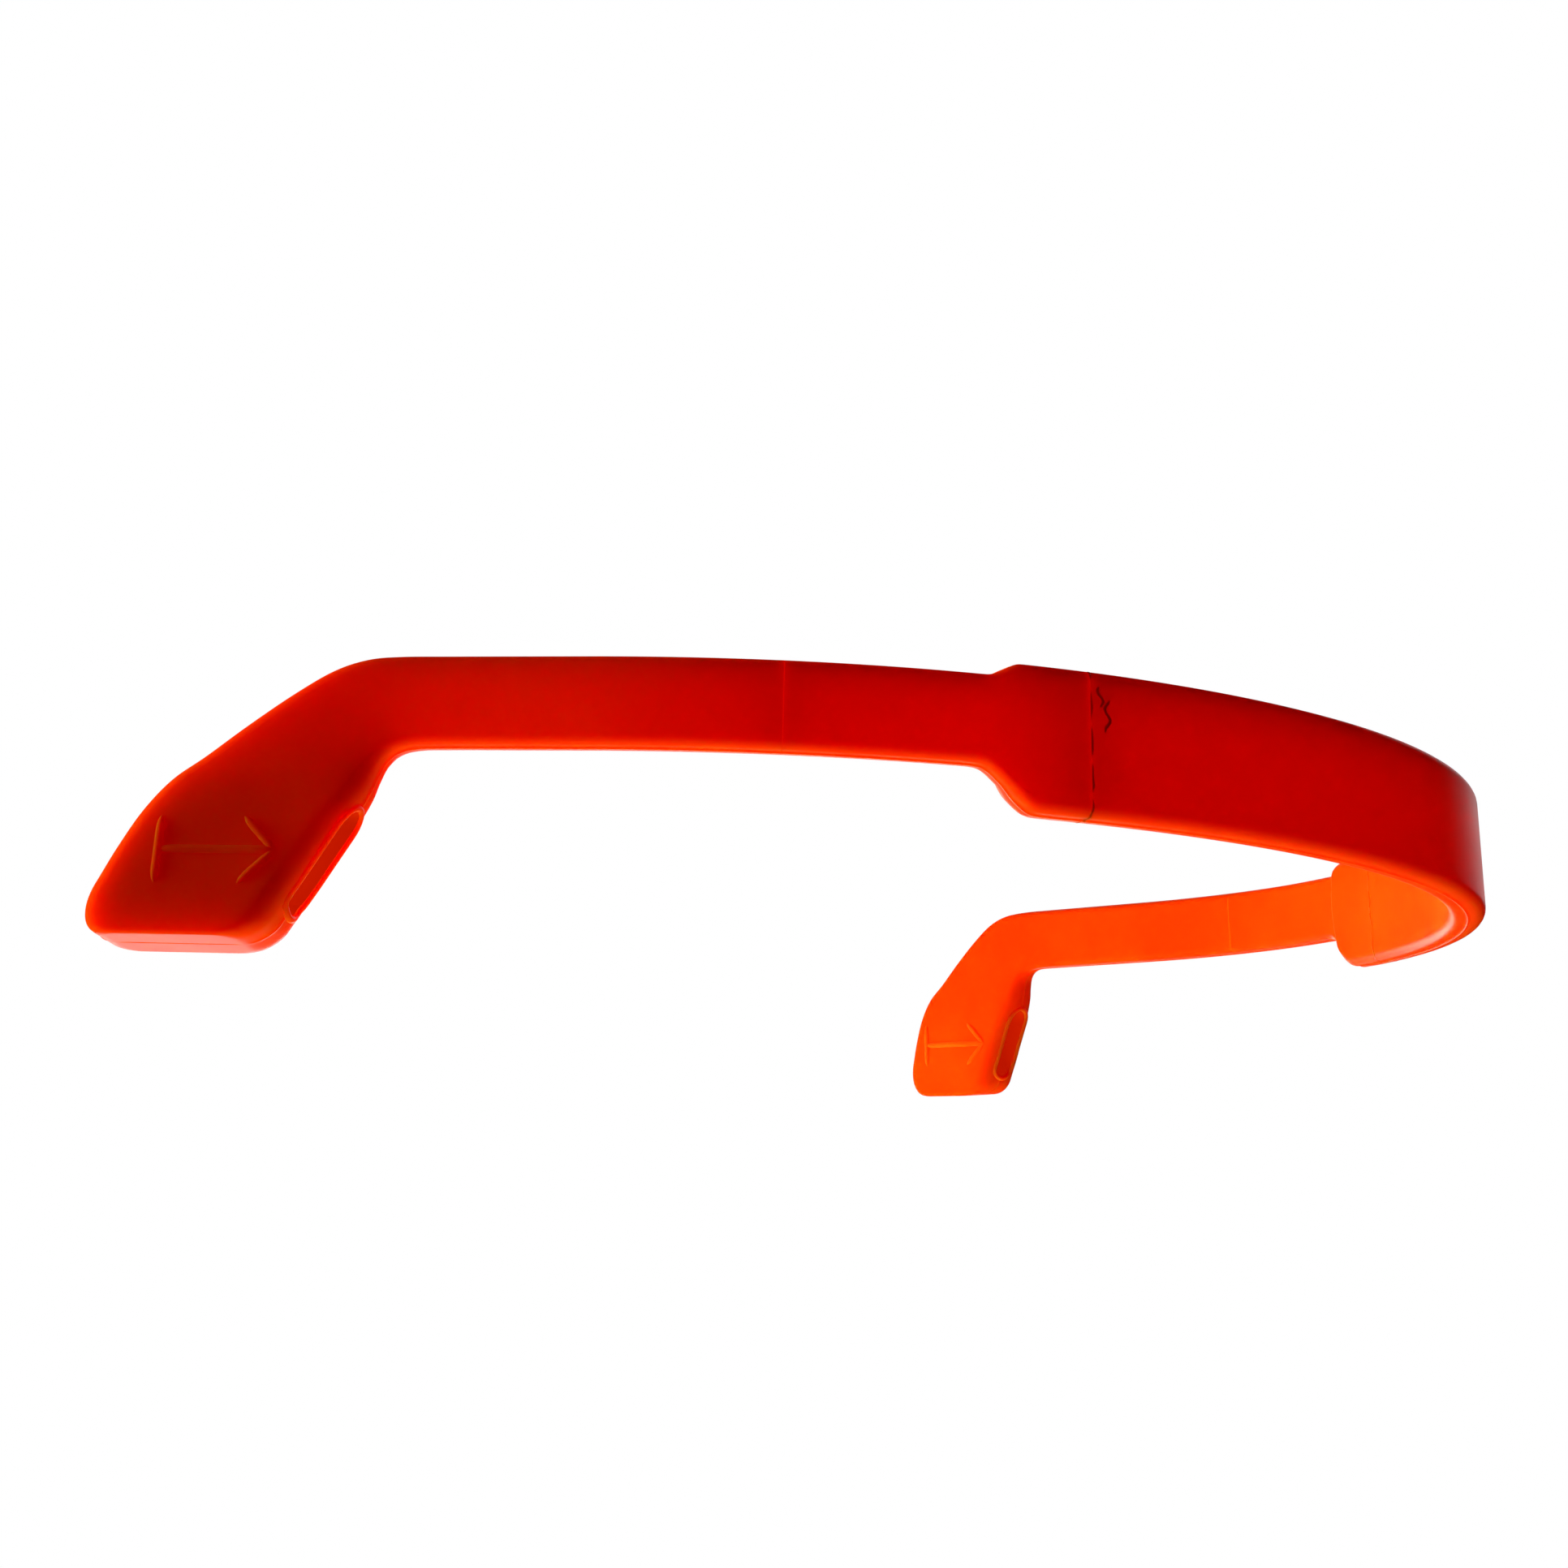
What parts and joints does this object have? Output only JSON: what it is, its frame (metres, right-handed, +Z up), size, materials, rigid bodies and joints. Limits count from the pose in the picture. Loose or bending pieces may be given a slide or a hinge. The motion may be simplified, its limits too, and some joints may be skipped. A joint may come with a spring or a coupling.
{
  "type": "spectacle retainer strap",
  "caption": "Soft silicone strap that holds spectacles on the head: hollow slanted temple sleeves on narrow side bands, joined by a wider pad for the back of the head.",
  "frame": {"origin": "centre of the bounding box at the height of the sleeves' lowest corners", "axes": "+Z up as worn, +Y towards the back of the head where the pad sits, +X towards the wearer's left, mirror plane X=0"},
  "size_m": [0.1566, 0.0818, 0.0225],
  "materials": {
    "silicone": "satin moulded silicone, translucent orange-red",
    "bond": "silicone adhesive film, slightly glossier than the mouldings",
    "mark": "the same silicone in thin raised lines, which look lighter"
  },
  "bodies": {
    "back_left": {"centre_band_left": "silicone", "left_bond_seam": "bond", "left_pad_end": "silicone"},
    "back_right": {"centre_band_right": "silicone", "right_bond_seam": "bond", "right_pad_end": "silicone"},
    "left_limb": {"left_side_band": "silicone"},
    "right_limb": {"right_side_band": "silicone"},
    "left_temple": {"left_neck": "silicone", "left_sleeve": "silicone", "left_rear_lip": "mark", "left_front_lip": "mark", "left_outer_mark": "mark", "left_inner_mark": "mark"},
    "right_temple": {"right_neck": "silicone", "right_sleeve": "silicone", "right_rear_lip": "mark", "right_front_lip": "mark", "right_outer_mark": "mark", "right_inner_mark": "mark"}
  },
  "joints": [
    {"name": "back_bend", "type": "hinge", "parent": "back_left", "child": "back_right", "pos_m": [0, 0.03927, 0.0181], "axis": [0, 0, -1], "range_deg": [-30, 20], "stiffness_Nm_per_rad": 0.02},
    {"name": "left_limb_flex", "type": "hinge", "parent": "back_left", "child": "left_limb", "pos_m": [0.05059, 0.01623, 0.0181], "axis": [0, 0, 1], "range_deg": [-25, 25], "stiffness_Nm_per_rad": 0.008},
    {"name": "right_limb_flex", "type": "hinge", "parent": "back_right", "child": "right_limb", "pos_m": [-0.05059, 0.01623, 0.0181], "axis": [0, 0, -1], "range_deg": [-25, 25], "stiffness_Nm_per_rad": 0.008},
    {"name": "left_neck_flex", "type": "hinge", "parent": "left_limb", "child": "left_temple", "pos_m": [0.06359, -0.00749, 0.0181], "axis": [0, 0, 1], "range_deg": [-30, 30], "stiffness_Nm_per_rad": 0.008},
    {"name": "right_neck_flex", "type": "hinge", "parent": "right_limb", "child": "right_temple", "pos_m": [-0.06359, -0.00749, 0.0181], "axis": [0, 0, -1], "range_deg": [-30, 30], "stiffness_Nm_per_rad": 0.008}
  ]
}
